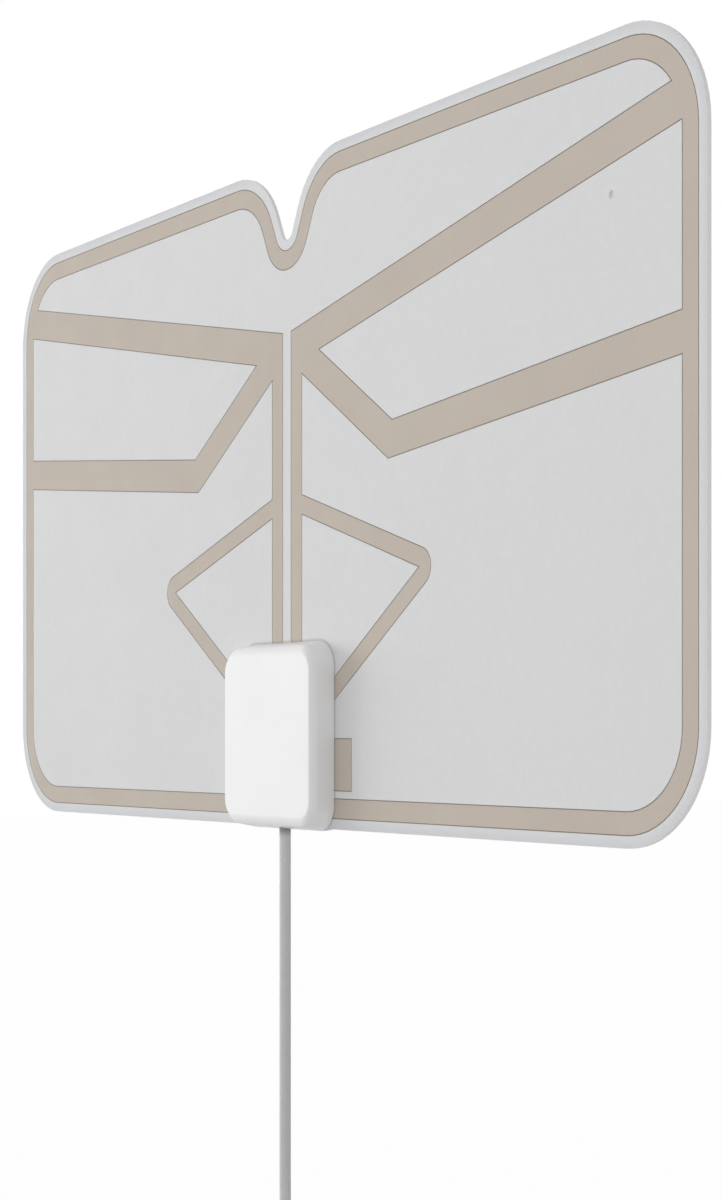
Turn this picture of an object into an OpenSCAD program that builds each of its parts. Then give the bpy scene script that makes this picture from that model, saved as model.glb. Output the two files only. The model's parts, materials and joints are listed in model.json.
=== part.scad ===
// Flat indoor TV antenna: a thin laminated panel with a foil pattern, a balun housing
// clamped to its lower edge, and a coaxial lead that ends in a screw-on F connector.
// Frame: X runs along the panel, Z is up, and -Y is the face that looks into the room.
// Origin: on the centre line, level with the pin mark, on the panel's rear face.
// Heights inside the modules are measured from the panel's lower edge.

/* [Panel] */
// Width of the panel
panel_w = 433; // [390:1:480]
// Height of the panel
panel_h = 229; // [215:1:250]
// Radius of the four outer corners
corner_r = 34; // [20:1:42]
// Thickness of the rear film
back_film_t = 0.6; // [0.4:0.1:1.2]
// Thickness of the front film
front_film_t = 0.7; // [0.4:0.1:1.2]

/* [Top notch] */
// Distance from the centre line to the start of each shoulder
notch_half_w = 34; // [32:1:44]
// Depth of the notch below the top edge
notch_depth = 27; // [20:1:30]
// Radius of the notch's shoulders
notch_shoulder_r = 29.5; // [20:0.5:30]
// Radius of the notch's floor
notch_floor_r = 4; // [2:0.5:6]

/* [Pin mark] */
// Diameter of the mark that shows where a push pin goes
pin_mark_d = 2.4; // [1.5:0.1:4]
// Distance of the pin mark from the centre line
pin_mark_x = 176; // [165:1:186]
// Height of the pin mark above the lower edge
pin_mark_h = 183; // [176:1:188]

/* [Foil pattern] */
// Thickness of the foil
foil_t = 0.12; // [0.05:0.01:0.2]
// How far the foil's face lies below the front film's face
foil_sink = 0.03; // [0:0.01:0.1]
// Width of the groove left round the foil
foil_gap = 0.35; // [0.1:0.05:0.4]
// Clear margin between the panel's edge and the foil
edge_margin = 3.8; // [2:0.1:6]
// Width of the band that follows the panel's edge
band_w = 6.3; // [5:0.1:10]
// Width of the long bars
bar_w = 11.6; // [9:0.1:15]
// Width of the short bar that joins them
link_w = 11.2; // [9:0.1:15]
// Height at which the upper bar's axis meets the centre line
upper_bar_h = 163.5; // [155:0.5:172]
// Slope of the upper bar
upper_bar_tilt = 11; // [8:0.5:14]
// Height at which the short bar's axis meets the centre line
link_h = 168; // [163:0.5:172]
// Height at which the lower bar's axis would meet the centre line
lower_bar_h = 120.4; // [114:0.2:126]
// Slope of the lower bar
lower_bar_tilt = 5.5; // [3:0.5:8]
// Distance of the lower bar's elbow from the centre line
elbow_x = 64.2; // [52:0.2:76]
// Gap between the two feed lines
feed_gap = 5.8; // [4:0.1:7]
// Width of each feed line
feed_w = 6.8; // [5:0.1:9]
// Width of the strip of the side loops
loop_w = 6; // [5:0.1:9]
// Height at which the loop's opening starts on the feed line
loop_top_h = 107; // [98:1:112]
// Height at which the loop's opening ends on the feed line
loop_low_h = 36.5; // [33:0.5:42]
// Distance of the loop's tip from the centre line
loop_tip_x = 81; // [70:1:90]
// Height of the loop's tip
loop_tip_h = 84.6; // [78:0.2:90]
// Width of each tuning pad
pad_w = 14; // [10:0.5:16]
// Height of each tuning pad
pad_tall = 17; // [12:0.5:19]
// Distance of a pad's outer edge from the centre line
pad_reach = 41; // [38:0.5:46]
// Gap between the lower band and a pad
pad_gap = 3; // [2:0.5:5]

/* [Housing] */
// Width of the housing
case_w = 61; // [56:0.2:72]
// Height of the housing
case_tall = 64; // [60:0.5:76]
// How far the housing reaches below the panel's edge
case_drop = 0.8; // [0.6:0.1:1.4]
// Depth of the front shell in front of the panel
case_depth = 8.6; // [8:0.1:14]
// Wall of the front shell
case_wall = 1.6; // [1.2:0.1:2]
// Radius of the housing's corners
case_corner_r = 9; // [6:0.5:12]
// Radius of the corners of the front face
face_corner_r = 5; // [4:0.5:8]
// How far the front face is set in at each side
side_bevel = 2.6; // [1:0.1:4]
// How far the front face is set in at top and bottom
end_bevel = 4.8; // [2:0.1:6]
// Depth over which the front edges are bevelled
bevel_depth = 2.4; // [1.5:0.1:3.5]
// Roundness of the bevel, from a flat chamfer to a quarter round
bevel_round = 0.5; // [0:0.1:1]
// How far the side walls lean in between the panel and the bevel
side_lean = 0.4; // [0:0.1:0.8]
// How far the top and bottom walls lean in between the panel and the bevel
end_lean = 1.2; // [0:0.1:1.4]
// Thickness of the rear shell
back_t = 2.8; // [2.6:0.1:4]
// Rounding of the rear shell's edge
back_edge_r = 1; // [0.4:0.1:1.4]

/* [Screws] */
// Diameter of the screw shanks
screw_d = 2; // [1.6:0.1:2.4]
// Diameter of the screw heads
screw_head_d = 4.4; // [3.8:0.1:5]
// Height of the screw heads
screw_head_t = 1.3; // [1:0.1:1.5]
// Distance of the screws from the housing's sides
screw_inset = 8.6; // [8:0.1:10]
// Distance of the upper screws from the housing's top
upper_screw_drop = 8.4; // [8:0.1:10]
// Distance of the lower screws from the housing's bottom
lower_screw_rise = 18; // [17:0.5:20]
// Diameter of the screw bosses
boss_d = 5.6; // [5:0.1:6.4]
// Depth of the pilot hole in a boss
pilot_deep = 6; // [4:0.5:7]

/* [Circuit board] */
// Width of the circuit board
board_w = 34; // [28:1:36]
// Height of the circuit board
board_tall = 29; // [24:1:30]
// Thickness of the circuit board
board_t = 1; // [0.6:0.1:1.6]
// Height of the board's lower edge
board_base_h = 29; // [28:0.5:30]
// Diameter of the posts that hold the board
post_d = 3.2; // [2.6:0.1:4]
// Diameter of the locating pins on the posts
post_pin_d = 1.5; // [1:0.1:2]
// Distance of the posts from the board's edges
post_inset = 2.6; // [2.2:0.1:4]
// Width of each contact spring
contact_w = 2.6; // [1.6:0.1:4]
// Thickness of the spring strip
contact_t = 0.15; // [0.1:0.01:0.25]

/* [Balun] */
// Half the thickness of the ferrite core
core_r = 1.8; // [1.5:0.1:2.2]
// Distance between the two holes of the core
core_pitch = 3.8; // [3.4:0.1:4.6]
// Length of the core
core_len = 5.6; // [4:0.1:8]
// Diameter of the two holes
core_hole_d = 1.5; // [1.4:0.1:1.8]
// Diameter of the winding's wire
wire_d = 0.4; // [0.2:0.05:0.44]

/* [Coaxial cable] */
// Outer diameter of the cable's jacket
cable_d = 4; // [3.6:0.1:4.6]
// Diameter of the screening braid
braid_d = 2.6; // [2.2:0.1:3]
// Diameter of the inner insulation
dielectric_d = 1.9; // [1.4:0.1:2]
// Diameter of the inner conductor
conductor_d = 0.6; // [0.4:0.05:0.8]
// Outer diameter of the collar that anchors the cable
collar_d = 6.2; // [5.6:0.1:6.6]
// Clearance round the cable where it passes through a wall
cable_clearance = 0.15; // [0.1:0.05:0.4]
// Radius of the storage coil at the middle of its turns
coil_mid_r = 22; // [20:0.5:24]
// Layers of cable across the coil, from inside to outside
coil_layers = 5; // [4:1:6]
// Rows of cable through the coil, from back to front
coil_rows = 4; // [4:2:6]
// Width of the strap that ties the coil
tie_w = 3.6; // [2.4:0.1:5]
// Thickness of the strap
tie_t = 1.1; // [0.8:0.1:1.6]

/* [F connector] */
// Length of the moulded boot
boot_len = 20; // [16:0.5:26]
// Diameter of the boot at the cable
boot_small_d = 5.6; // [5:0.1:6.4]
// Diameter of the boot at the connector
boot_large_d = 8.2; // [7.6:0.1:9]
// Diameter of the ferrule
ferrule_d = 7.8; // [7.2:0.1:8.4]
// Diameter of the neck on which the nut turns
neck_d = 6.6; // [6:0.1:7]
// Diameter of the flange that keeps the nut on
flange_d = 8.2; // [7.8:0.1:8.4]
// Diameter of the insulation at the mouth
insulator_d = 4.6; // [4:0.1:5]
// Diameter of the centre pin
pin_d = 1; // [0.8:0.05:1.2]
// How far the centre pin stands out of the nut
pin_reach = 1.2; // [0.5:0.1:2]
// Width of the hexagonal nut across its flats
nut_flats = 11.1; // [10.6:0.1:12.6]
// Length of the nut
nut_len = 9; // [8:0.5:11]
// Diameter of the nut's bore
nut_bore_d = 8.6; // [8.5:0.1:9]
// Running clearance between the nut and the neck
nut_clearance = 0.05; // [0.02:0.01:0.1]

/* [Hidden] */
$fn = 64;

// Overlap that lets a cut run clear of the face it starts from
over = 1;
// Clearance between pieces that lie in one pocket or hole
play = 0.1;
sheet_t = back_film_t + front_film_t;
foil_pocket = foil_t + foil_sink;
case_base = -case_drop;
case_top = case_base + case_tall;

// Direction across the straight flank of the notch, from the shoulder and floor centres
shoulder_h = panel_h - notch_shoulder_r;
floor_h = panel_h - notch_depth + notch_floor_r;
flank_span = norm([notch_half_w, shoulder_h - floor_h]);
flank_a = atan2(shoulder_h - floor_h, notch_half_w)
    - acos((notch_shoulder_r + notch_floor_r) / flank_span);

// Screw places, as distance from the centre line and height
screw_x = case_w / 2 - screw_inset;
upper_screw_h = case_top - upper_screw_drop;
lower_screw_h = case_base + lower_screw_rise;

// Depths of the inner pieces; the cable lies against the rear shell
coax_y = -cable_d / 2;
foil_face_y = -(sheet_t - foil_sink);
board_back_y = coax_y - conductor_d / 2;
board_front_y = board_back_y - board_t;
cavity_y = -(sheet_t + case_depth - case_wall);
slot_half_w = collar_d / 2 + 2 * play;

// Heights along the stripped end of the cable
wall_in_h = case_base + case_wall + end_lean;
collar_len = 4.6;
rib_h = wall_in_h + collar_len + 2 * play;
rib_t = 1.6;
jacket_end_h = 9;
braid_end_h = 20;
dielectric_end_h = 24;
conductor_end_h = board_base_h + 3.4;
slot_top_h = dielectric_end_h + 1;
clip_base_h = 13;
clip_len = 4;

// The two feed lines' centres, where the contact springs press
feed_x = (feed_gap + feed_w) / 2;
contact_h = board_base_h + 11;

// Storage coil: its centre, its section and where the cable leaves it
coil_z = -376;
coil_in_r = coil_mid_r - coil_layers * cable_d / 2;
coil_out_r = coil_mid_r + coil_layers * cable_d / 2;
coil_t = coil_rows * cable_d;

// Route of the cable from inside the housing to the coil, chosen by hand
lead_route = [
    [0, -174], [0, -184], [0, -196], [0, -208], [0, -220], [0, -232], [0, -244], [0, -256],
    [0, -268], [0, -280], [0, -292], [0, -304], [0, -314], [-1, -321], [-4, -328], [-9, -335],
    [-15, -341], [-21, -347], [-26, -353], [-29, -360], [-30, -368], [-30, -372]
];
// Route from the coil to the connector
tail_route = [
    [-30, -380], [-30, -390], [-30, -400], [-30, -410], [-30, -420], [-30, -430], [-30, -440],
    [-30, -448]
];
tail_y = -(coil_rows - 0.5) * cable_d;
tail_end = tail_route[len(tail_route) - 1];

// Places along the connector, measured from the end of the cable
ferrule_len = 4;
nut_start = boot_len + ferrule_len + 0.3;
lip_len = 2.6;
nut_end = nut_start + nut_len;
flange_start = nut_start + lip_len + 2 * play;
flange_end = flange_start + 1.2;
insulator_start = boot_len + 2;
pin_end = nut_end + pin_reach;

// Stands a flat shape up, facing the room, with its rear at depth y
module upright(y, t) {
    translate([0, y, 0])
        rotate([90, 0, 0])
            linear_extrude(height = t)
                children();
}

// Carries what is drawn from the panel's lower edge into the part's frame
module on_panel() {
    translate([0, 0, -pin_mark_h]) children();
}

// Draws a shape and its mirror image beyond the centre line
module both_sides() {
    children();
    mirror([1, 0, 0]) children();
}

// Rectangle with round corners, standing on height h
module round_rect(w, h, tall, r) {
    translate([-w / 2 + r, h]) square([w - 2 * r, tall]);
    translate([-w / 2, h + r]) square([w, tall - 2 * r]);
    for (x = [-1, 1], z = [r, tall - r])
        translate([x * (w / 2 - r), h + z]) circle(r);
}

// The region of the notch, with its shoulders and floor set back by the inset
module notch_shape(inset) {
    across = [cos(flank_a), sin(flank_a)];
    shoulder = [notch_half_w, shoulder_h] - (notch_shoulder_r - inset) * across;
    bottom = [0, floor_h] + (notch_floor_r + inset) * across;
    difference() {
        polygon([
            [-notch_half_w, panel_h + over], [notch_half_w, panel_h + over],
            [notch_half_w, shoulder_h], shoulder, bottom,
            [-bottom.x, bottom.y], [-shoulder.x, shoulder.y], [-notch_half_w, shoulder_h]
        ]);
        both_sides()
            translate([notch_half_w, shoulder_h]) circle(notch_shoulder_r - inset, $fn = 128);
    }
    translate([0, floor_h]) circle(notch_floor_r + inset);
}

// Outline of the panel, or of any line that follows it further in
module panel_shape(inset = 0) {
    difference() {
        round_rect(panel_w - 2 * inset, inset, panel_h - 2 * inset, corner_r - inset, $fn = 128);
        notch_shape(inset);
    }
}

// A straight strip from a to b, wide to either side of that line by the amounts given
module strip(a, b, left, right) {
    d = (b - a) / norm(b - a);
    n = [-d.y, d.x];
    polygon([a - right * n, b - right * n, b + left * n, a + left * n]);
}

// Discs round the four screws
module screw_discs(r) {
    both_sides()
        for (h = [lower_screw_h, upper_screw_h])
            translate([screw_x, h]) circle(r);
}

// Slot in the lower edge that makes room for the cable
module cable_slot(grow = 0) {
    translate([-slot_half_w - grow, -over])
        square([2 * (slot_half_w + grow), slot_top_h + over + grow]);
}

// Height at x of the line through p in direction d
function line_h(p, d, x) = p.y + (x - p.x) * d.y / d.x;

// Point where the line through p in direction d meets the line through q in direction e
function meet(p, d, q, e) =
    let (x = (q.y - p.y + p.x * d.y / d.x - q.x * e.y / e.x) / (d.y / d.x - e.y / e.x))
        [x, line_h(p, d, x)];

// The strip that leaves the feed line, turns back at the tip and returns to it
module side_loop(grow) {
    tip = [loop_tip_x, loop_tip_h];
    root = (feed_gap + feed_w) / 2;
    top = [feed_gap / 2 + feed_w, loop_top_h];
    low = [feed_gap / 2 + feed_w, loop_low_h];
    d = (tip - top) / norm(tip - top);
    e = (low - tip) / norm(low - tip);
    up = [-d.y, d.x];
    down = [-e.y, e.x];
    full = loop_w + grow;
    start = atan2(up.y, up.x);
    turn = atan2(down.y, down.x) - start;
    polygon(concat(
        [
            [root, line_h(low - grow * down, e, root)],
            meet(top - grow * up, d, low - grow * down, e),
            [root, line_h(top - grow * up, d, root)],
            [root, line_h(top + full * up, d, root)]
        ],
        [for (k = [0:1 / 16:1]) tip + full * [cos(start + k * turn), sin(start + k * turn)]],
        [[root, line_h(low + full * down, e, root)]]
    ));
}

// The short bar and the lower bar in one, with a mitred elbow
module bent_bar(reach, grow) {
    root = [0, link_h];
    elbow = [elbow_x, lower_bar_h + elbow_x * tan(lower_bar_tilt)];
    end = [reach, lower_bar_h + reach * tan(lower_bar_tilt)];
    d = (elbow - root) / norm(elbow - root);
    e = (end - elbow) / norm(end - elbow);
    across = (link_w / 2 + grow) * [-d.y, d.x];
    up = (bar_w / 2 + grow) * [-e.y, e.x];
    polygon([
        root - across, meet(elbow - across, d, elbow - up, e), end - up,
        end + up, meet(elbow + across, d, elbow + up, e), root + across
    ]);
}

// One side's bars and feed line; grow widens every line by that much to each side
module foil_side(grow) {
    inner_x = feed_gap / 2 - grow;
    outer_x = feed_gap / 2 + feed_w + grow;
    reach = panel_w / 2;
    rise = bar_w / 2 / cos(upper_bar_tilt) + grow / cos(upper_bar_tilt);
    intersection() {
        polygon([
            [inner_x, edge_margin], [reach, edge_margin],
            [reach, upper_bar_h + reach * tan(upper_bar_tilt) + rise],
            [inner_x, upper_bar_h + inner_x * tan(upper_bar_tilt) + rise]
        ]);
        union() {
            translate([inner_x, edge_margin]) square([outer_x - inner_x, upper_bar_h]);
            strip([0, upper_bar_h], [reach, upper_bar_h + reach * tan(upper_bar_tilt)],
                bar_w / 2 + grow, bar_w / 2 + grow);
            bent_bar(reach, grow);
        }
    }
}

// The foil without its side loops: the band round the edge and what it carries
module foil_shape(grow = 0) {
    difference() {
        union() {
            difference() {
                panel_shape(edge_margin - grow);
                panel_shape(edge_margin + band_w + grow);
            }
            intersection() {
                panel_shape(edge_margin - grow);
                both_sides() foil_side(grow);
            }
        }
        cable_slot(2 * foil_gap - grow);
        screw_discs(screw_d / 2 + 3 * foil_gap - grow);
    }
}

// The small pad beside the housing, on the side where X is positive
module pad_shape(grow = 0) {
    translate([pad_reach - pad_w - grow, edge_margin + band_w + pad_gap - grow])
        square([pad_w + 2 * grow, pad_tall + 2 * grow]);
}

// Cuts shared by both films
module film_shape() {
    difference() {
        panel_shape();
        screw_discs(screw_d / 2 + foil_gap);
        cable_slot();
    }
}

module back_film() {
    color([0.80, 0.81, 0.82])
        on_panel() upright(0, back_film_t) film_shape();
}

module front_film() {
    color([0.83, 0.83, 0.84])
        on_panel() difference() {
            upright(-back_film_t, front_film_t) film_shape();
            upright(over - back_film_t, front_film_t + 2 * over)
                translate([pin_mark_x, pin_mark_h]) circle(pin_mark_d / 2);
            upright(foil_pocket - sheet_t, over) foil_shape(foil_gap);
            both_sides() upright(foil_pocket - sheet_t, over) side_loop(foil_gap);
            upright(foil_pocket - sheet_t, over) both_sides() pad_shape(foil_gap);
        }
}

module foil_element() {
    color([0.74, 0.70, 0.65])
        on_panel() {
            upright(foil_pocket - sheet_t, foil_t) foil_shape();
            both_sides() upright(foil_pocket - sheet_t, foil_t) side_loop(0);
        }
}

module right_pad() {
    color([0.74, 0.70, 0.65])
        on_panel() upright(foil_pocket - sheet_t, foil_t) pad_shape();
}

module left_pad() {
    mirror([1, 0, 0]) right_pad();
}

// Outline of the housing at depth y, set in at the sides and at the ends
function case_ring(y, side, end, r) = [
    for (i = [0:3], a = [0:10:90])
        let (turn = 90 * i + a, sx = i == 0 || i == 3 ? 1 : -1, sz = i < 2 ? 1 : -1)
            [
                sx * (case_w / 2 - side - r) + r * cos(turn), y,
                case_base + case_tall / 2 + sz * (case_tall / 2 - end - r) + r * sin(turn)
            ]
];

// Closed skin over rings of equal length, from the first ring to the last
module skin(rings) {
    m = len(rings[0]);
    n = len(rings);
    walls = [
        for (i = [0:n - 2], j = [0:m - 1])
            let (a = i * m + j, b = i * m + (j + 1) % m)
                each [[a, b, b + m], [a, b + m, a + m]]
    ];
    ends = [
        [for (j = [m - 1:-1:0]) j],
        [for (j = [0:m - 1]) (n - 1) * m + j]
    ];
    polyhedron([for (ring = rings) each ring], concat(walls, ends));
}

// Solid form of the front shell, or of its cavity when it is drawn in by the wall
module case_form(wall, reach, rear = -sheet_t) {
    straight = reach - bevel_depth;
    skin(concat(
        [
            for (a = [90:-10:0])
                let (flat = (1 - bevel_round) * a / 90, k = bevel_round * (1 - cos(a)) + flat)
                    case_ring(-sheet_t - straight - bevel_depth * (bevel_round * sin(a) + flat),
                        wall + side_lean + k * (side_bevel - side_lean),
                        wall + end_lean + k * (end_bevel - end_lean),
                        case_corner_r - wall + k * (face_corner_r - case_corner_r))
        ],
        [case_ring(rear, wall, wall, case_corner_r - wall)]
    ));
}

// Solid form of the rear shell, with a rounded rear edge
module back_form() {
    skin(concat(
        [case_ring(0, 0, 0, case_corner_r)],
        [
            for (a = [0:15:90])
                let (k = back_edge_r * (1 - cos(a)))
                    case_ring(back_t - back_edge_r * (1 - sin(a)), k, k, case_corner_r - k)
        ]
    ));
}

// A round post that stands on the cavity's front wall and ends at depth y
module case_post(x, h, d, y) {
    translate([x, y, h]) rotate([90, 0, 0]) cylinder(d = d, h = y - cavity_y + case_wall / 2);
}

// Cut for the cable, open towards the rear
module cable_channel(h, length, r) {
    translate([0, coax_y, h]) cylinder(r = r, h = length);
    translate([-r, coax_y, h]) cube([2 * r, over + cable_d / 2, length]);
}

// Places of the posts that carry the circuit board
module at_posts() {
    for (x = [-1, 1], h = [board_base_h + post_inset, board_base_h + board_tall - post_inset])
        translate([x * (board_w / 2 - post_inset), 0, h]) children();
}

module front_housing() {
    seat_r = cable_d / 2 + cable_clearance;
    seat_y = coax_y - collar_d / 2 - play;
    color([0.94, 0.94, 0.94])
        on_panel() difference() {
            union() {
                difference() {
                    case_form(0, case_depth);
                    case_form(case_wall, case_depth - case_wall, over - sheet_t);
                }
                both_sides()
                    for (h = [lower_screw_h, upper_screw_h])
                        case_post(screw_x, h, boss_d, -sheet_t);
                at_posts() {
                    case_post(0, 0, post_d, board_front_y);
                    case_post(0, 0, post_pin_d, board_back_y + play);
                }
                translate([-collar_d / 2 - 2, seat_y, wall_in_h - case_wall])
                    cube([collar_d + 4, -sheet_t - seat_y, case_wall]);
                translate([-collar_d / 2 - 2, cavity_y - case_wall / 2, rib_h])
                    cube([collar_d + 4, -sheet_t - cavity_y + case_wall / 2, rib_t]);
            }
            both_sides()
                for (h = [lower_screw_h, upper_screw_h])
                    translate([screw_x, -sheet_t + over, h]) rotate([90, 0, 0])
                        cylinder(d = screw_d + play / 2, h = pilot_deep + over);
            cable_channel(case_base - over, wall_in_h - case_base + over + play, seat_r);
            cable_channel(rib_h - play, rib_t + 2 * play, seat_r);
        }
}

module back_housing() {
    seat_r = cable_d / 2 + cable_clearance;
    lip_w = case_w - 2 * case_corner_r;
    color([0.93, 0.93, 0.93])
        on_panel() difference() {
            union() {
                back_form();
                translate([-lip_w / 2, -sheet_t, case_base])
                    cube([lip_w, sheet_t + back_edge_r, case_drop - play]);
            }
            translate([0, coax_y, wall_in_h])
                cylinder(d = collar_d + 2 * play, h = collar_len + 2 * play);
            translate([-seat_r, -sheet_t - over, case_base - over])
                cube([2 * seat_r, sheet_t + over, case_drop + over]);
            both_sides()
                for (h = [lower_screw_h, upper_screw_h])
                    translate([screw_x, 0, h]) rotate([-90, 0, 0]) {
                        translate([0, 0, -over]) cylinder(d = screw_d + 2 * play, h = back_t + over);
                        translate([0, 0, back_t - screw_head_t - play])
                            cylinder(d = screw_head_d + 2 * play, h = over + screw_head_t);
                    }
        }
}

// A self-tapping screw put in from the rear, with a cross recess in its head
module case_screw(x, h) {
    shank = back_t - screw_head_t - play + sheet_t + pilot_deep - 4 * play;
    color([0.62, 0.63, 0.65])
        on_panel() translate([x, back_t - play, h]) rotate([90, 0, 0])
            difference() {
                union() {
                    cylinder(d = screw_head_d, h = screw_head_t);
                    translate([0, 0, screw_head_t]) cylinder(d = screw_d, h = shank - screw_d / 2);
                    translate([0, 0, screw_head_t + shank - screw_d / 2])
                        cylinder(d1 = screw_d, d2 = screw_d / 4, h = screw_d / 2);
                }
                for (a = [0, 90])
                    rotate([0, 0, a]) translate([-screw_head_d / 3, -screw_d / 8, -over])
                        cube([2 * screw_head_d / 3, screw_d / 4, over + screw_head_t / 2]);
            }
}

module screw_upper_left() { case_screw(-screw_x, upper_screw_h); }
module screw_upper_right() { case_screw(screw_x, upper_screw_h); }
module screw_lower_left() { case_screw(-screw_x, lower_screw_h); }
module screw_lower_right() { case_screw(screw_x, lower_screw_h); }

module circuit_board() {
    color([0.16, 0.42, 0.24])
        on_panel() difference() {
            upright(board_back_y, board_t) round_rect(board_w, board_base_h, board_tall, 1);
            at_posts() translate([0, board_back_y + over, 0]) rotate([90, 0, 0])
                cylinder(d = post_pin_d + play, h = board_t + 2 * over);
        }
}

// A bent spring from the back of the board to the foil of the right feed line
module right_contact() {
    base = 2.4;
    run = 2.6;
    color([0.80, 0.66, 0.36])
        on_panel() translate([feed_x - contact_w / 2, 0, contact_h])
            rotate([90, 0, 90]) linear_extrude(height = contact_w)
                polygon([
                    [board_back_y, 0], [board_back_y, base], [foil_face_y - contact_t, base + run],
                    [foil_face_y - contact_t, 2 * base + run], [foil_face_y, 2 * base + run],
                    [foil_face_y, base + run - contact_t], [board_back_y + contact_t, base - contact_t],
                    [board_back_y + contact_t, 0]
                ]);
}

module left_contact() {
    mirror([1, 0, 0]) right_contact();
}

core_y = board_front_y - core_r;
core_base_h = board_base_h + board_tall / 2;

module balun_core() {
    color([0.20, 0.20, 0.21])
        on_panel() translate([0, core_y, core_base_h]) difference() {
            linear_extrude(height = core_len)
                round_rect(core_pitch + 2 * core_r, -core_r, 2 * core_r, 0.8 * core_r);
            both_sides() translate([core_pitch / 2, 0, -over])
                cylinder(d = core_hole_d, h = core_len + 2 * over);
        }
}

// Half a turn of wire beyond the core's end
module wire_bend() {
    rotate([90, 0, 0]) rotate_extrude(angle = 180, $fn = 32)
        translate([core_pitch / 2, 0]) circle(d = wire_d, $fn = 16);
}

// Three turns through the core, and two ends that go to the board
module balun_winding() {
    spread = (core_hole_d - wire_d) / 2;
    color([0.72, 0.40, 0.22])
        on_panel() translate([0, core_y, core_base_h]) {
            for (y = [-spread, 0, spread]) translate([0, y, 0]) {
                both_sides() translate([core_pitch / 2, 0, 0])
                    cylinder(d = wire_d, h = core_len, $fn = 16);
                translate([0, 0, core_len]) wire_bend();
                mirror([0, 0, 1]) wire_bend();
            }
            both_sides() translate([core_pitch / 2, core_r, -wire_d]) rotate([90, 0, 0])
                cylinder(d = wire_d, h = core_r + spread, $fn = 16);
        }
}

// A chip capacitor on the board's front
module right_capacitor() {
    size = [1.3, 0.9, 2.1];
    color([0.72, 0.62, 0.48])
        on_panel() translate([board_w / 4, board_front_y - size.y, core_base_h - 4]) cube(size);
}

module left_capacitor() {
    mirror([1, 0, 0]) right_capacitor();
}

// A collar moulded on the jacket, caught between the wall and the rib
module cable_collar() {
    color([0.55, 0.56, 0.57])
        on_panel() translate([0, coax_y, wall_in_h + play]) difference() {
            cylinder(d = collar_d, h = collar_len);
            translate([0, 0, -over]) cylinder(d = cable_d + play / 2, h = collar_len + 2 * over);
        }
}

// Strip that joins the braid to the board's front, with a half ring round the braid
module ground_clip() {
    t = 0.25;
    half_w = 1.2;
    near_y = coax_y - braid_d / 2;
    color([0.78, 0.79, 0.80])
        on_panel() {
            translate([-half_w, 0, 0]) rotate([90, 0, 90]) linear_extrude(height = 2 * half_w)
                polygon([
                    [near_y, clip_base_h], [near_y, braid_end_h],
                    [board_front_y, board_base_h - 2 * play], [board_front_y, board_base_h + 4],
                    [board_front_y - t, board_base_h + 4], [board_front_y - t, board_base_h - 2 * play],
                    [near_y - t, braid_end_h], [near_y - t, clip_base_h]
                ]);
            translate([0, coax_y, clip_base_h]) difference() {
                cylinder(d = braid_d + 2 * t, h = clip_len);
                translate([0, 0, -over]) cylinder(d = braid_d, h = clip_len + 2 * over);
                translate([-braid_d, 0, -over]) cube([2 * braid_d, braid_d, clip_len + 2 * over]);
            }
        }
}

// A sleeve or rod on the cable's axis, from the end of the jacket up to a height
module on_cable(d, bore, top) {
    on_panel() translate([0, coax_y, jacket_end_h]) difference() {
        cylinder(d = d, h = top - jacket_end_h, $fn = 48);
        if (bore > 0)
            translate([0, 0, -over]) cylinder(d = bore, h = top - jacket_end_h + 2 * over, $fn = 48);
    }
}

module coax_braid() {
    color([0.70, 0.71, 0.72]) on_cable(braid_d, dielectric_d, braid_end_h);
}

module coax_dielectric() {
    color([0.93, 0.93, 0.90]) on_cable(dielectric_d, conductor_d, dielectric_end_h);
}

module coax_conductor() {
    color([0.72, 0.45, 0.30]) on_cable(conductor_d, 0, conductor_end_h);
}

// Tube of round section along a route of [x, z] points in the plane at depth y
module cable(route, y, d, sides = 10) {
    skin([
        for (i = [0:len(route) - 1])
            let (t = route[min(i + 1, len(route) - 1)] - route[max(i - 1, 0)], u = t / norm(t))
                [
                    for (j = [0:sides - 1])
                        let (a = 360 * j / sides, s = d / 2 * cos(a))
                            [route[i].x - s * u.y, y + d / 2 * sin(a), route[i].y + s * u.x]
                ]
    ]);
}

module coax_lead() {
    color([0.66, 0.66, 0.67]) cable(lead_route, coax_y, cable_d);
}

module coax_tail() {
    color([0.66, 0.66, 0.67]) cable(tail_route, tail_y, cable_d);
}

// Outer shape of the stored turns
module coax_coil() {
    color([0.66, 0.66, 0.67])
        translate([0, 0, coil_z]) rotate([90, 0, 0])
            rotate_extrude($fn = 72) {
                translate([coil_in_r, cable_d / 2]) square([coil_out_r - coil_in_r, coil_t - cable_d]);
                translate([coil_in_r + cable_d / 2, 0])
                    square([coil_out_r - coil_in_r - cable_d, coil_t]);
                for (r = [coil_in_r + cable_d / 2, coil_out_r - cable_d / 2],
                    t = [cable_d / 2, coil_t - cable_d / 2])
                    translate([r, t]) circle(d = cable_d, $fn = 24);
            }
}

// Strap round the turns, with its lock on the front
module cable_tie() {
    gap = 0.5;
    low = [-coil_out_r - gap, -coil_t - gap];
    span = [coil_out_r - coil_in_r + 2 * gap, coil_t + 2 * gap];
    lock = [5.4, 4, 4.8];
    color([0.86, 0.86, 0.86])
        translate([0, 0, coil_z - tie_w / 2]) {
            linear_extrude(height = tie_w) difference() {
                translate(low - [tie_t, tie_t]) square(span + 2 * [tie_t, tie_t]);
                translate(low) square(span);
            }
            translate([-coil_mid_r - lock.x / 2, low.y - lock.y, (tie_w - lock.z) / 2]) cube(lock);
        }
}

// Turns a form drawn along +Z into the hanging connector
module on_connector() {
    translate([tail_end.x, tail_y, tail_end.y]) rotate([180, 0, 0]) children();
}

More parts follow.
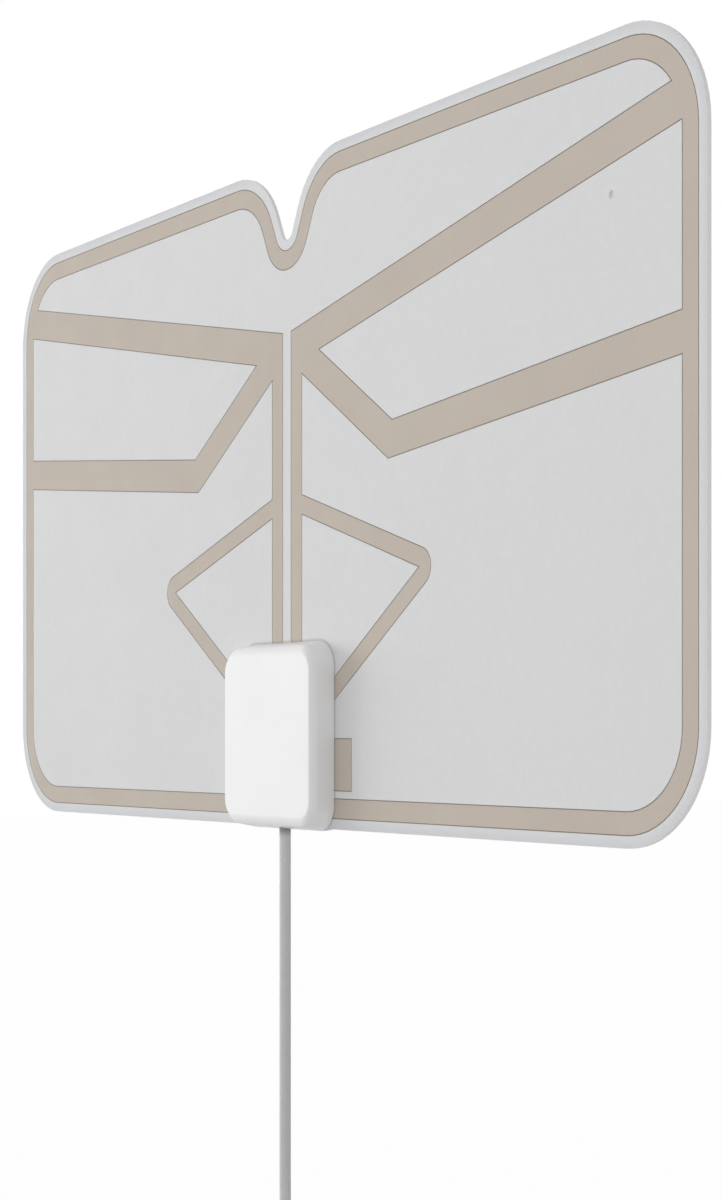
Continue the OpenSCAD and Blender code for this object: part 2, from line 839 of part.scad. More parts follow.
module connector_boot() {
    grooves = 4;
    pitch = 3;
    taper = (boot_large_d - boot_small_d) / 2 / (boot_len - 4);
    color([0.30, 0.30, 0.31])
        on_connector() rotate_extrude() difference() {
            polygon([
                [0, 0], [boot_small_d / 2, 0], [boot_large_d / 2, boot_len - 4],
                [boot_large_d / 2, boot_len], [0, boot_len]
            ]);
            for (w = [2:pitch:2 + (grooves - 1) * pitch])
                translate([boot_small_d / 2 + w * taper - 0.45, w]) square([2, 1.2]);
        }
}

module connector_body() {
    color([0.78, 0.79, 0.80])
        on_connector() rotate_extrude() difference() {
            polygon([
                [0, boot_len], [ferrule_d / 2, boot_len], [ferrule_d / 2, boot_len + ferrule_len],
                [neck_d / 2, boot_len + ferrule_len], [neck_d / 2, flange_start],
                [flange_d / 2, flange_start], [flange_d / 2, flange_end], [0, flange_end]
            ]);
            translate([-over, insulator_start])
                square([insulator_d / 2 + over, flange_end - insulator_start + over]);
        }
}

module connector_insulator() {
    color([0.93, 0.93, 0.90])
        on_connector() rotate_extrude()
            polygon([
                [0, insulator_start], [insulator_d / 2, insulator_start],
                [insulator_d / 2, flange_end], [pin_d / 2, flange_end],
                [pin_d / 2, insulator_start + 1], [0, insulator_start + 1]
            ]);
}

module connector_pin() {
    color([0.80, 0.66, 0.36])
        on_connector() rotate_extrude()
            polygon([
                [0, insulator_start + 1], [pin_d / 2, insulator_start + 1],
                [pin_d / 2, pin_end - pin_d / 2], [pin_d / 6, pin_end], [0, pin_end]
            ]);
}

module connector_nut() {
    corner = nut_flats / 2 / cos(30);
    color([0.82, 0.83, 0.84])
        on_connector() translate([0, 0, nut_start]) difference() {
            intersection() {
                cylinder(r = corner, h = nut_len, $fn = 6);
                rotate_extrude() polygon([
                    [0, 0], [nut_flats / 2, 0], [corner + 0.05, (corner - nut_flats / 2)],
                    [corner + 0.05, nut_len - (corner - nut_flats / 2)], [nut_flats / 2, nut_len],
                    [0, nut_len]
                ]);
            }
            translate([0, 0, -over]) cylinder(d = neck_d + 2 * nut_clearance, h = nut_len);
            translate([0, 0, lip_len]) cylinder(d = nut_bore_d, h = nut_len);
        }
}

back_film();
front_film();
foil_element();
left_pad();
right_pad();
front_housing();
back_housing();
screw_upper_left();
screw_upper_right();
screw_lower_left();
screw_lower_right();
circuit_board();
left_contact();
right_contact();
balun_core();
balun_winding();
left_capacitor();
right_capacitor();
cable_collar();
ground_clip();
coax_braid();
coax_dielectric();
coax_conductor();
coax_lead();
coax_coil();
coax_tail();
cable_tie();
connector_boot();
connector_body();
connector_insulator();
connector_pin();
connector_nut();
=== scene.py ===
import json
import math

import bpy
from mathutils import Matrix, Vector


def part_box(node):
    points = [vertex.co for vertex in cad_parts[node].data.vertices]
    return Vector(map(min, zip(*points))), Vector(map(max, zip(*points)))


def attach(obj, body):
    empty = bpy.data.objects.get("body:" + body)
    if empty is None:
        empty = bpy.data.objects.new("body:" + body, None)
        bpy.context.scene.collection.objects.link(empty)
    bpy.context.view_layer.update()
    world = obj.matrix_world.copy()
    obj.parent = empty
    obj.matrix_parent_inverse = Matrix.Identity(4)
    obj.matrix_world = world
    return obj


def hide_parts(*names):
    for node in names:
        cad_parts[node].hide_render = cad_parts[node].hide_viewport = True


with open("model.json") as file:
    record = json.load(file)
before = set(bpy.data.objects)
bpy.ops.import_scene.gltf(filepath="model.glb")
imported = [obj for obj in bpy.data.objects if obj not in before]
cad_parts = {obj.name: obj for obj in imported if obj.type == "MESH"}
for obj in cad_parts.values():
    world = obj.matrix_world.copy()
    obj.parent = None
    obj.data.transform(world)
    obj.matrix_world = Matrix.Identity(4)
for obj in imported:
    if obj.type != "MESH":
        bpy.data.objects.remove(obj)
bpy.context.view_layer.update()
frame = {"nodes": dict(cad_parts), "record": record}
BODY = "antenna"
nodes = frame["nodes"]


# Camera: level, at the front right, shifted so that the panel fills the frame and the cable leaves it below

TURN = math.radians(57.1)
AIM = (0, -0.0013, -0.1509)
DISTANCE = 0.7921
SIDESTEP = 0.02574

ahead = Vector((-math.sin(TURN), math.cos(TURN), 0))
aside = Vector((math.cos(TURN), math.sin(TURN), 0))
camera_data = bpy.data.cameras.new("camera")
camera_data.sensor_width = 36
camera_data.lens = 69
camera_data.shift_x = -0.0005
camera_data.shift_y = 0.111
camera_data.clip_start = 0.01
camera_data.clip_end = 60
camera = bpy.data.objects.new("camera", camera_data)
camera.location = Vector(AIM) - DISTANCE * ahead + SIDESTEP * aside
camera.rotation_mode = "QUATERNION"
camera.rotation_quaternion = ahead.to_track_quat("-Z", "Y")
bpy.context.scene.collection.objects.link(camera)
bpy.context.scene.camera = camera


# Cable: one line from inside the housing straight down, round the stored turns and on to the plug.
# LEAD and TAIL are chosen points, X and Z in millimetres, before and after the stored turns.

CABLE_D = 0.004
LEAD_Y = -0.002
COIL_Z = -0.376
ROWS = 4
LAYERS = 5
INNER_R = 0.014
TAIL_Y = LEAD_Y - (ROWS - 1) * CABLE_D
LEAD = [
    (0, -174), (0, -184), (0, -196), (0, -208), (0, -220), (0, -232), (0, -244), (0, -256),
    (0, -268), (0, -280), (0, -292), (0, -304), (0, -314), (-1, -321), (-4, -328), (-9, -335),
    (-15, -341), (-21, -347), (-26, -353), (-29, -360), (-30, -368), (-30, -372),
]
TAIL = [
    (-30, -380), (-30, -390), (-30, -400), (-30, -410), (-30, -420), (-30, -430), (-30, -440),
    (-30, -448),
]


def smooth_step(t):
    """Runs from 0 to 1 as t does, and starts and stops gently."""
    t = min(max(t, 0), 1)
    return t * t * (3 - 2 * t)


def smoothed(points, parts=4):
    """A curve through the points, each stretch in equal parts (Catmull-Rom)."""
    padded = [points[0], *points, points[-1]]
    curve = []
    for a, b, c, d in zip(padded, padded[1:], padded[2:], padded[3:]):
        for i in range(parts):
            t = i / parts
            curve.append(tuple(
                q + 0.5 * t * (r - p + t * (2 * p - 5 * q + 4 * r - s + t * (3 * (q - r) + s - p)))
                for p, q, r, s in zip(a, b, c, d)
            ))
    return curve + [points[-1]]


def coil_points(per_turn=72, shift_part=0.42):
    """Row by row from the wall outwards, one row wound inwards and the next one outwards.

    In the last part of each turn the cable shifts by one diameter, to the next layer or the next row.
    """
    points = []
    for row in range(ROWS):
        inwards = row % 2 == 0
        for lap in range(LAYERS):
            layer = LAYERS - 1 - lap if inwards else lap
            row_ends = lap == LAYERS - 1
            layer_step = 0 if row_ends else (-1 if inwards else 1)
            row_step = 1 if row_ends and row < ROWS - 1 else 0
            for i in range(per_turn):
                t = i / per_turn
                shift = smooth_step((t - 1 + shift_part) / shift_part)
                radius = INNER_R + CABLE_D * (layer + layer_step * shift)
                depth = LEAD_Y - CABLE_D * (row + row_step * shift)
                angle = math.pi + 2 * math.pi * t
                points.append((radius * math.cos(angle), depth, COIL_Z + radius * math.sin(angle)))
    return points


def route_points():
    lead = smoothed([(x / 1000, LEAD_Y, z / 1000) for x, z in LEAD])
    tail = [(x / 1000, TAIL_Y, z / 1000) for x, z in TAIL]
    return lead + coil_points() + tail


def line_curve(name, points, radius, resolution=5):
    """A round line through the points, closed at both ends."""
    data = bpy.data.curves.new(name, "CURVE")
    data.dimensions = "3D"
    data.bevel_depth = radius
    data.bevel_resolution = resolution
    data.use_fill_caps = True
    spline = data.splines.new("POLY")
    spline.points.add(len(points) - 1)
    for p, co in zip(spline.points, points):
        p.co = (*co, 1)
    spline.use_smooth = True
    obj = bpy.data.objects.new(name, data)
    bpy.context.scene.collection.objects.link(obj)
    return obj


cable = line_curve("cable", route_points(), CABLE_D / 2)


# Node tools: short ways to build a node tree, and to vary a material's colour, gloss and relief

def linear(r, g, b):
    """A display colour, 0 to 255, as the linear values that a shader takes."""
    shares = [value / 255 for value in (r, g, b)]
    return tuple(c / 12.92 if c <= 0.04045 else ((c + 0.055) / 1.055) ** 2.4 for c in shares)


def middle(node, axes="XZ"):
    """The middle of a node's box on each of the axes."""
    low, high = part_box(node)
    return [(low["XYZ".index(a)] + high["XYZ".index(a)]) / 2 for a in axes]


def half_size(node, axes="XZ"):
    """Half the size of a node's box along each of the axes."""
    low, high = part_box(node)
    return [(high["XYZ".index(a)] - low["XYZ".index(a)]) / 2 for a in axes]


class Nodes:
    """Adds nodes to a tree and links them."""

    def __init__(self, tree):
        self.tree = tree

    def node(self, kind, **values):
        """Adds a node and sets its properties and sockets by name, with _ for a space."""
        made = self.tree.nodes.new(kind)
        for key, value in values.items():
            if hasattr(made, key):
                setattr(made, key, value)
            else:
                made.inputs[key.replace("_", " ")].default_value = value
        return made

    def feed(self, value, socket):
        """Links another node's output to the socket, or sets the socket to a plain value."""
        if isinstance(value, bpy.types.NodeSocket):
            self.tree.links.new(value, socket)
        else:
            socket.default_value = value

    def math(self, operation, *values):
        made = self.node("ShaderNodeMath", operation=operation)
        for value, socket in zip(values, made.inputs):
            self.feed(value, socket)
        return made.outputs["Value"]

    def ramp(self, source, low, high, first, last):
        """Runs from the first value to the last as the source runs from low to high."""
        made = self.node("ShaderNodeMapRange")
        names = ("Value", "From Min", "From Max", "To Min", "To Max")
        for name, value in zip(names, (source, low, high, first, last)):
            self.feed(value, made.inputs[name])
        return made.outputs["Result"]

    def share(self, vector, axis):
        """A vector's part along an axis."""
        split = self.node("ShaderNodeSeparateXYZ")
        self.feed(vector, split.inputs["Vector"])
        return split.outputs[axis]


class Surface(Nodes):
    """A material: where a point lies, patterns over it, and what they change in the shader."""

    def __init__(self, name, colour, roughness, metallic=0.0, **sockets):
        self.material = bpy.data.materials.new(name)
        self.material.use_nodes = True
        super().__init__(self.material.node_tree)
        self.shader = self.tree.nodes["Principled BSDF"]
        self.base = (*linear(*colour), 1)
        self.bump = None
        self.shader.inputs["Base Color"].default_value = self.base
        self.shader.inputs["Roughness"].default_value = roughness
        self.shader.inputs["Metallic"].default_value = metallic
        for key, value in sockets.items():
            self.shader.inputs[key.replace("_", " ")].default_value = value
        coordinates = self.node("ShaderNodeTexCoord")
        self.place = coordinates.outputs["Object"]
        self.normal = coordinates.outputs["Normal"]

    def at(self, axis):
        """How far along an axis a point lies."""
        return self.share(self.place, axis)

    def away(self, axis, centre):
        """Distance along an axis from a place on it."""
        return self.math("ABSOLUTE", self.math("SUBTRACT", self.at(axis), centre))

    def facing(self, axis):
        """1 where the surface faces along the axis, either way, and 0 where it runs along it."""
        return self.math("ABSOLUTE", self.share(self.normal, axis))

    def sides(self):
        """1 on cut edges and walls, 0 on front and rear faces."""
        return self.math("LESS_THAN", self.facing("Y"), 0.5)

    def faces(self):
        """1 on front and rear faces, 0 on cut edges and walls."""
        return self.math("GREATER_THAN", self.facing("Y"), 0.5)

    def length(self, a, b):
        squares = [self.math("MULTIPLY", side, side) for side in (a, b)]
        return self.math("SQRT", self.math("ADD", *squares))

    def outside(self, node, corner):
        """Distance in X and Z from a node's outline, a rectangle with round corners, negative inside."""
        beyond = []
        for axis, centre, half in zip("XZ", middle(node), half_size(node)):
            past = self.math("SUBTRACT", self.away(axis, centre), half - corner)
            beyond.append(self.math("MAXIMUM", past, 0))
        return self.math("SUBTRACT", self.length(*beyond), corner)

    def noise(self, scale, detail=2, roughness=0.5, stretch=None):
        """Cloudy patches about 1 / scale metres wide, from 0 to 1, drawn out where stretch is under 1."""
        source = self.place
        if stretch:
            mapping = self.node("ShaderNodeMapping", Scale=stretch)
            self.feed(source, mapping.inputs["Vector"])
            source = mapping.outputs["Vector"]
        made = self.node("ShaderNodeTexNoise", Scale=scale, Detail=detail, Roughness=roughness)
        self.feed(source, made.inputs["Vector"])
        return made.outputs["Fac"]

    def wave(self, source, pitch):
        """A ripple from 0 to 1 of that pitch along a length."""
        angle = self.math("MULTIPLY", source, 2 * math.pi / pitch)
        return self.ramp(self.math("SINE", angle), -1, 1, 0, 1)

    def tint(self, factor, colour):
        """Lays another colour over what is there, by a factor."""
        mix = self.node("ShaderNodeMix", data_type="RGBA")
        self.feed(factor, mix.inputs["Factor"])
        self.feed(self.base, mix.inputs["A"])
        self.feed((*linear(*colour), 1), mix.inputs["B"])
        self.base = mix.outputs["Result"]
        self.feed(self.base, self.shader.inputs["Base Color"])

    def mottle(self, colour, most, scale, detail=3, low=0.4, high=0.7, roughness=0.5):
        """Lays another colour over the patches of a noise, by the factor most where it is above high."""
        self.tint(self.ramp(self.noise(scale, detail, roughness), low, high, 0, most), colour)

    def gloss(self, scale, low, high, detail=3):
        """Lets the roughness wander from low to high over the patches of a noise."""
        wander = self.ramp(self.noise(scale, detail), 0.3, 0.7, low, high)
        self.feed(wander, self.shader.inputs["Roughness"])

    def relief(self, source, height, strength):
        """Adds a bump of that height in metres."""
        made = self.node("ShaderNodeBump", Strength=strength, Distance=height)
        self.feed(source, made.inputs["Height"])
        if self.bump is not None:
            self.feed(self.bump, made.inputs["Normal"])
        self.bump = made.outputs["Normal"]
        self.feed(self.bump, self.shader.inputs["Normal"])

    def grain(self, scale, height, strength, detail=2, roughness=0.5):
        self.relief(self.noise(scale, detail, roughness), height, strength)

    def streaks(self, colour, scale, stretch, height=0.000004):
        """Fine straight scratches in a metal, drawn out along Z."""
        streak = self.noise(scale, 4, 0.6, (1, 1, stretch))
        self.tint(self.ramp(streak, 0.4, 0.7, 0, 0.35), colour)
        self.relief(streak, height, 0.6)


# Materials, one function each. Lengths are in metres and stand for the real detail's size.

CASE_CORNER = 0.009
PANEL_CORNER = 0.034
GROOVE_DEPTH = 0.00015
PLUG_AXIS = middle("connector_nut", "XY")


def painted_contact_shadow(s, colour, most, near=0.0002, far=0.0012):
    """Painted shade: a thin darker line on the panel round the housing's foot, where its contact shadow
    falls.
    """
    away = s.math("ABSOLUTE", s.outside("back_housing", CASE_CORNER))
    s.tint(s.ramp(away, near, far, most, 0), colour)


def film_surface():
    """Pale satin film: a cooler margin, a painted glow on the cut edge, painted shade in the grooves that
    hold the foil and a painted contact shadow round the housing.
    """
    margin = 0.0032
    margin_end = 0.0006
    groove_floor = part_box("front_film")[0][1] + GROOVE_DEPTH
    s = Surface("film", (212, 212, 213), 0.42, Specular_IOR_Level=0.35)
    s.mottle((207, 208, 209), 0.35, 9, low=0.35)
    s.mottle((222, 222, 223), 0.18, 420)
    # Painted contact shadow round the housing's foot.
    painted_contact_shadow(s, (150, 150, 152), 0.6)
    outline = s.outside("back_film", PANEL_CORNER)
    s.tint(s.ramp(outline, -margin, -margin_end, 0, 0.6), (198, 200, 204))
    # Painted glow: the cut edges and the walls of holes are lit near white.
    s.tint(s.math("MULTIPLY", s.sides(), 0.95), (248, 248, 249))
    # Painted shade on the floors of the grooves round the foil.
    groove = s.math("LESS_THAN", s.away("Y", groove_floor), GROOVE_DEPTH / 3)
    s.tint(s.math("MULTIPLY", groove, s.faces()), (132, 124, 115))
    s.gloss(60, 0.36, 0.5)
    s.grain(2600, 0.000012, 0.5)
    s.grain(14, 0.0004, 0.25)
    return s.material


def foil_surface():
    """Tan-grey foil with faint clouds, a fine speckle, a rolled grain and a painted contact shadow round
    the housing.
    """
    s = Surface("foil", (188, 177, 165), 0.46, Specular_IOR_Level=0.4)
    s.mottle((182, 171, 160), 0.6, 24, detail=4, low=0.35)
    s.mottle((195, 185, 175), 0.25, 900, detail=2, low=0.45, high=0.75)
    # Painted contact shadow round the housing's foot.
    painted_contact_shadow(s, (132, 124, 116), 0.4)
    s.gloss(80, 0.4, 0.55)
    s.grain(1800, 0.000015, 0.6)
    return s.material


def case_surface():
    """White moulding with a fine texture, and painted shade that greys its rounded rims a little."""
    s = Surface("case", (243, 243, 243), 0.38)
    s.mottle((236, 237, 238), 0.3, 30)
    # Painted shade: the rims grow greyer as they turn away from the front.
    lean = s.facing("Y")
    painted_rim_shade = s.math("MULTIPLY", s.ramp(lean, 0.99, 0.85, 0, 1), s.ramp(lean, 0.25, 0.6, 0, 1))
    s.tint(painted_rim_shade, (233, 233, 234))
    s.gloss(220, 0.32, 0.46)
    s.grain(3400, 0.00002, 0.45, detail=3, roughness=0.6)
    return s.material


def jacket_surface():
    """Soft cable jacket: faint scuffs, a fine extruded grain, and painted shade just below the housing."""
    shade_start = 0.0028
    shade_full = 0.0004
    housing_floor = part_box("front_housing")[0][2]
    s = Surface("jacket", (203, 203, 204), 0.42)
    s.mottle((196, 196, 198), 0.5, 60, low=0.35)
    s.mottle((185, 185, 188), 0.3, 700, detail=4, low=0.55, high=0.8, roughness=0.7)
    # Painted shade: the jacket darkens towards the housing's floor, where the cable leaves it.
    shade = s.ramp(s.at("Z"), housing_floor - shade_start, housing_floor - shade_full, 0, 0.7)
    s.tint(shade, (104, 104, 108))
    s.gloss(300, 0.34, 0.52)
    s.grain(900, 0.00003, 0.5, detail=3)
    return s.material


def screw_surface():
    """Zinc plate with turning marks round each of the four screws and a fine thread on their shanks."""
    ring_pitch = 0.00024
    thread_pitch = 0.0008
    x, z_high = middle("screw_upper_right")
    z_low = middle("screw_lower_right")[1]
    s = Surface("screw", (190, 192, 195), 0.3, 1.0)
    across = s.math("SUBTRACT", s.away("X", 0), x)
    up = s.math("SUBTRACT", s.away("Z", (z_high + z_low) / 2), (z_high - z_low) / 2)
    s.mottle((168, 166, 158), 0.5, 500, low=0.45, high=0.75)
    s.gloss(900, 0.22, 0.42)
    s.relief(s.wave(s.length(across, up), ring_pitch), 0.00001, 0.5)
    s.relief(s.math("MULTIPLY", s.wave(s.at("Y"), thread_pitch), s.sides()), 0.0002, 0.8)
    return s.material


def board_surface():
    """Green resist over copper lines, bare tinned pads and a tan laminate edge."""
    line_pitch = 0.0042
    line_edge = 0.84
    pad_r = 0.0019
    x, z = middle("right_capacitor")
    s = Surface("board", (48, 112, 70), 0.3)
    line = s.math("GREATER_THAN", s.wave(s.at("X"), line_pitch), line_edge)
    s.tint(s.math("MULTIPLY", line, 0.6), (84, 146, 92))
    s.mottle((40, 98, 62), 0.3, 700)
    from_pad = s.length(s.math("SUBTRACT", s.away("X", 0), x), s.away("Z", z))
    s.tint(s.math("LESS_THAN", from_pad, pad_r), (196, 197, 198))
    s.tint(s.sides(), (196, 184, 140))
    s.gloss(400, 0.24, 0.4)
    s.relief(line, 0.00003, 0.6)
    s.grain(1500, 0.00001, 0.4)
    return s.material


def contact_surface():
    """Spring brass, drawn and a little tarnished."""
    s = Surface("contact", (214, 182, 116), 0.28, 1.0)
    s.streaks((183, 155, 99), 900, 0.06)
    s.mottle((178, 142, 84), 0.5, 260, low=0.5, high=0.75)
    s.gloss(700, 0.2, 0.38)
    return s.material


def ferrite_surface():
    """Sintered ferrite: dark, matt and speckled with bright grains."""
    s = Surface("ferrite", (56, 56, 59), 0.62)
    s.mottle((110, 110, 114), 0.8, 3800, detail=2, low=0.6, high=0.72, roughness=0.7)
    s.mottle((44, 44, 47), 0.5, 420, detail=4)
    s.gloss(1200, 0.5, 0.72)
    s.grain(2600, 0.00004, 0.7, detail=4, roughness=0.7)
    return s.material


def copper_surface():
    """Lacquered copper wire, darker where the lacquer is thick."""
    s = Surface("copper", (204, 128, 90), 0.26, 1.0, Coat_Weight=0.35)
    s.streaks((174, 109, 78), 1400, 0.1)
    s.mottle((164, 86, 58), 0.6, 500, low=0.45, high=0.75)
    s.gloss(900, 0.18, 0.34)
    return s.material


def chip_surface():
    """Fired ceramic with tinned ends."""
    half_body = 0.00062
    s = Surface("chip", (186, 158, 124), 0.42)
    s.mottle((168, 138, 106), 0.5, 2200)
    along = s.away("Z", middle("right_capacitor")[1])
    s.tint(s.math("GREATER_THAN", along, half_body), (206, 207, 208))
    s.gloss(1600, 0.3, 0.5)
    s.grain(3000, 0.00001, 0.5, detail=3)
    return s.material


def tin_surface():
    """Tinned strip, drawn and dulled in patches."""
    s = Surface("tin", (206, 207, 208), 0.3, 1.0)
    s.streaks((176, 177, 178), 1100, 0.08)
    s.mottle((178, 177, 172), 0.5, 380, detail=4, low=0.5, high=0.75)
    s.gloss(600, 0.2, 0.44)
    return s.material


def braid_surface():
    """Tinned copper braid: two sets of twelve strands that cross round the cable's core, with painted shade
    in the gaps between them.
    """
    once_round = 0.0026
    strand = once_round / 12
    slant = 0.6
    s = Surface("braid", (190, 191, 192), 0.36, 1.0)
    angle = s.math("ARCTAN2", s.at("X"), s.math("SUBTRACT", s.at("Y"), LEAD_Y))
    around = s.math("MULTIPLY", angle, once_round / (2 * math.pi))
    along = s.math("MULTIPLY", s.at("Z"), slant)
    crossing = [s.wave(s.math(sense, around, along), strand) for sense in ("ADD", "SUBTRACT")]
    weave = s.math("MAXIMUM", *crossing)
    # Painted shade: dark in the gaps between the strands.
    s.tint(s.ramp(weave, 0.75, 0.35, 0, 0.85), (96, 96, 98))
    s.gloss(1800, 0.28, 0.48)
    s.relief(weave, 0.0001, 0.9)
    return s.material


def insulation_surface():
    """Foamed polythene, a little translucent."""
    s = Surface("insulation", (238, 238, 232), 0.4, Subsurface_Weight=0.15, Subsurface_Scale=0.001)
    s.mottle((226, 226, 216), 0.5, 900, detail=4)
    s.gloss(1200, 0.32, 0.5)
    s.grain(4200, 0.00002, 0.5, detail=3)
    return s.material


def strap_surface():
    """Nylon strap with small teeth across its run."""
    tooth_pitch = 0.001
    half_band = 0.0012
    s = Surface("strap", (228, 228, 226), 0.36)
    teeth = s.wave(s.math("ADD", s.at("X"), s.at("Y")), tooth_pitch)
    across = s.away("Z", middle("cable_tie")[1])
    band = s.math("MULTIPLY", teeth, s.math("LESS_THAN", across, half_band))
    s.tint(s.ramp(band, 0.7, 1.0, 0, 0.3), (204, 204, 202))
    s.mottle((218, 218, 215), 0.4, 260)
    s.gloss(700, 0.28, 0.46)
    s.relief(band, 0.0001, 0.7)
    return s.material


def boot_surface():
    """Moulded rubber: matt, with a dusty bloom and a fine spark-eroded grain."""
    s = Surface("boot", (66, 66, 68), 0.6)
    s.mottle((80, 80, 82), 0.6, 240, detail=4)
    s.mottle((52, 52, 54), 0.4, 2600, detail=2, low=0.55, high=0.75)
    s.gloss(600, 0.5, 0.72)
    s.grain(3200, 0.00003, 0.7, detail=3)
    return s.material


def plate_surface():
    """Nickel plate over turned brass, with the lathe's rings under it."""
    wall_pitch = 0.00032
    face_pitch = 0.0003
    ring_height = 0.000006
    s = Surface("plate", (214, 212, 208), 0.18, 1.0)
    s.mottle((196, 190, 178), 0.5, 180, detail=4, low=0.45, high=0.75)
    s.gloss(500, 0.12, 0.3, detail=4)
    from_axis = s.length(*(s.away(axis, centre) for axis, centre in zip("XY", PLUG_AXIS)))
    s.relief(s.wave(s.at("Z"), wall_pitch), ring_height, 0.5)
    s.relief(s.wave(from_axis, face_pitch), ring_height, 0.5)
    return s.material


MATERIALS = {
    "film": film_surface(),
    "foil": foil_surface(),
    "case": case_surface(),
    "jacket": jacket_surface(),
    "screw": screw_surface(),
    "board": board_surface(),
    "contact": contact_surface(),
    "ferrite": ferrite_surface(),
    "copper": copper_surface(),
    "chip": chip_surface(),
    "tin": tin_surface(),
    "braid": braid_surface(),
    "insulation": insulation_surface(),
    "strap": strap_surface(),
    "boot": boot_surface(),
    "plate": plate_surface(),
}
SLOTS = {s["node"]: s["material_slot"] for s in frame["record"]["subparts"]}


def dress(obj, slot):
    obj.data.materials.clear()
    obj.data.materials.append(MATERIALS[slot])


for name, obj in nodes.items():
    dress(obj, SLOTS[name])


# Housing: the CAD's facets shaded as one skin

def soften(obj, angle=35, weld_gap=0.000002):
    """Shades a faceted moulding as one skin, with the edges sharper than the angle kept."""
    bpy.context.view_layer.objects.active = obj
    with bpy.context.temp_override(object=obj, active_object=obj, selected_objects=[obj]):
        bpy.ops.mesh.customdata_custom_splitnormals_clear()
    for p in obj.data.polygons:
        p.use_smooth = True
    weld = obj.modifiers.new("weld", "WELD")
    weld.merge_threshold = weld_gap
    split = obj.modifiers.new("split", "EDGE_SPLIT")
    split.split_angle = math.radians(angle)
    even = obj.modifiers.new("even", "WEIGHTED_NORMAL")
    even.mode = "FACE_AREA"
    even.weight = 50
    even.keep_sharp = True


for name in ("front_housing", "back_housing"):
    soften(nodes[name])


# Cable: one jacket over its whole length, in place of the CAD's three plain solids

cable.data.materials.append(MATERIALS["jacket"])
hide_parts("coax_lead", "coax_coil", "coax_tail")
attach(cable, BODY)


# Plug: the nut's thread stands in its plain bore

def nut_thread(bore_r=0.0043, depth=0.00028, pitch=0.000794, steps=48):
    """A ridge, three-cornered in section, that winds up the bore and is closed at both ends."""
    mouth = 0.0004
    neck = 0.0032
    foot = 0.00003
    half_width = 0.36 * pitch
    low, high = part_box("connector_nut")
    start = low[2] + mouth + pitch / 2
    turns = int((high[2] - neck - start) / pitch)
    profile = [(foot, -half_width), (-depth, 0), (foot, half_width)]
    corners = len(profile)
    verts = []
    for i in range(turns * steps + 1):
        angle = 2 * math.pi * i / steps
        for out, up in profile:
            x = PLUG_AXIS[0] + (bore_r + out) * math.cos(angle)
            y = PLUG_AXIS[1] + (bore_r + out) * math.sin(angle)
            verts.append((x, y, start + pitch * i / steps + up))
    last = corners * turns * steps
    faces = []
    for a in range(0, last, corners):
        for j in range(corners):
            k = (j + 1) % corners
            faces.append((a + j, a + corners + j, a + corners + k, a + k))
    faces += [(0, 1, 2), (last + 2, last + 1, last)]
    mesh = bpy.data.meshes.new("nut_thread")
    mesh.from_pydata(verts, [], faces)
    mesh.validate()
    obj = bpy.data.objects.new("nut_thread", mesh)
    bpy.context.scene.collection.objects.link(obj)
    dress(obj, "plate")
    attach(obj, "connector_nut")


nut_thread()


# Stage: a pale floor far below, a surround brighter from the front left, and one broad far lamp from the
# left, nearly along the panel, that draws the housing's long soft shadow

def seen(n):
    """1 for the rays by which the camera, a mirror or a lens sees the stage, 0 for those that light it."""
    path = n.node("ShaderNodeLightPath")
    direct = n.math("MAXIMUM", path.outputs["Is Camera Ray"], path.outputs["Is Glossy Ray"])
    return n.math("MAXIMUM", direct, path.outputs["Is Transmission Ray"])


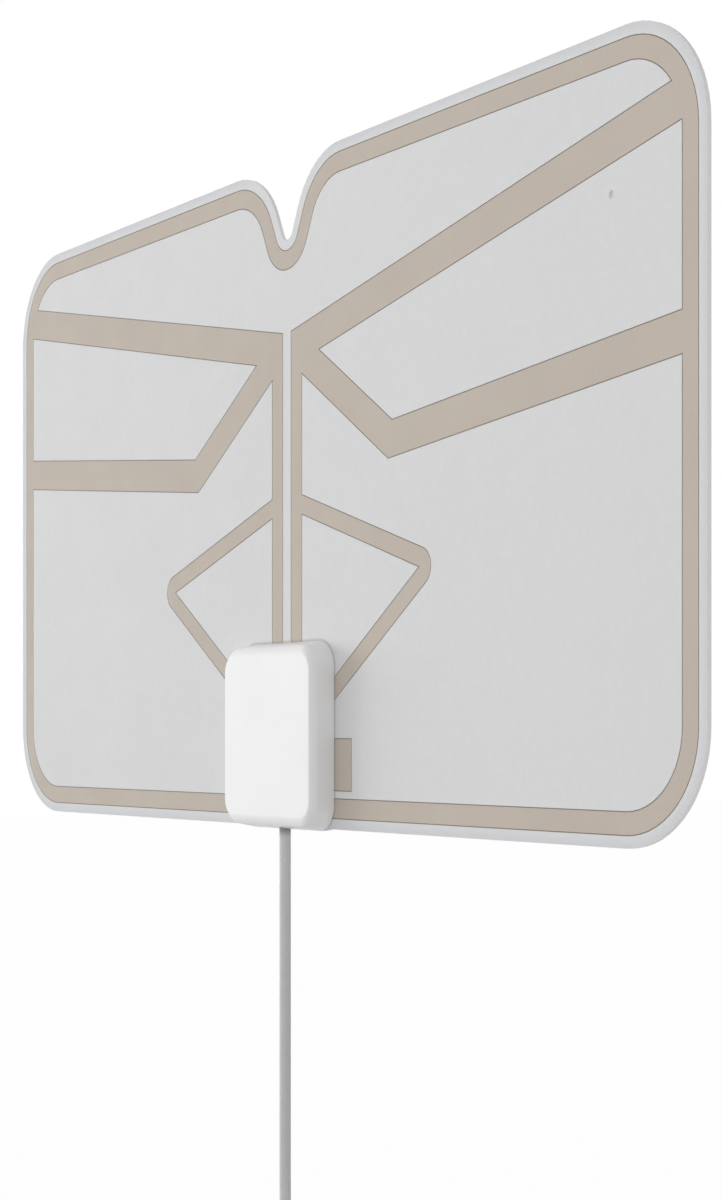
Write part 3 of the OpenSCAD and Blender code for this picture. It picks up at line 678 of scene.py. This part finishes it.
def stage_floor(half=9, height=-0.53, own_light=0.97):
    """White to the camera, apart from a share that shows the object's shadow."""
    corners = [(-half, -half, height), (half, -half, height), (half, half, height), (-half, half, height)]
    mesh = bpy.data.meshes.new("floor")
    mesh.from_pydata(corners, [], [(0, 1, 2, 3)])
    floor = bpy.data.objects.new("floor", mesh)
    bpy.context.scene.collection.objects.link(floor)
    material = bpy.data.materials.new("floor")
    material.use_nodes = True
    n = Nodes(material.node_tree)
    paint = n.tree.nodes["Principled BSDF"]
    paint.inputs["Base Color"].default_value = (0.9, 0.9, 0.9, 1)
    paint.inputs["Roughness"].default_value = 0.8
    glow = n.node("ShaderNodeEmission")
    mix = n.node("ShaderNodeMixShader")
    n.feed(n.math("MULTIPLY", seen(n), own_light), mix.inputs[0])
    n.feed(paint.outputs["BSDF"], mix.inputs[1])
    n.feed(glow.outputs["Emission"], mix.inputs[2])
    n.feed(mix.outputs["Shader"], n.tree.nodes["Material Output"].inputs["Surface"])
    floor.data.materials.append(material)


def surround(low, high, bright_side, fade):
    """Dome light from low to high towards one side, weaker above and below, and white to the camera."""
    world = bpy.data.worlds.new("surround")
    bpy.context.scene.world = world
    world.use_nodes = True
    n = Nodes(world.node_tree)
    direction = n.node("ShaderNodeTexCoord").outputs["Generated"]
    toward = n.node("ShaderNodeVectorMath", operation="DOT_PRODUCT")
    n.feed(direction, toward.inputs[0])
    n.feed(Vector(bright_side).normalized(), toward.inputs[1])
    level = n.ramp(toward.outputs["Value"], -1, 1, low, high)
    band = n.ramp(n.math("ABSOLUTE", n.share(direction, "Z")), 0, 1, 1, 1 - fade)
    light = n.math("MULTIPLY", level, band)
    back = n.tree.nodes["Background"]
    back.inputs["Color"].default_value = (1, 1, 1, 1)
    n.feed(n.ramp(seen(n), 0, 1, light, 1), back.inputs["Strength"])


def lamp(name, place, aim, size, power):
    """A square lamp that lights the object and isn't itself seen or mirrored."""
    data = bpy.data.lights.new(name, "AREA")
    data.shape = "SQUARE"
    data.size = size
    data.energy = power
    obj = bpy.data.objects.new(name, data)
    obj.location = place
    obj.rotation_mode = "QUATERNION"
    obj.rotation_quaternion = (Vector(aim) - Vector(place)).to_track_quat("-Z", "Y")
    obj.visible_glossy = False
    obj.visible_camera = False
    bpy.context.scene.collection.objects.link(obj)


stage_floor()
surround(low=0.66, high=1.9, bright_side=(-0.7, -0.71, 0), fade=0.89)
lamp("key", place=(-38, -11.2, 1.2), aim=(0, 0, -0.1), size=17.6, power=14000)

bpy.context.scene.view_settings.view_transform = "Standard"
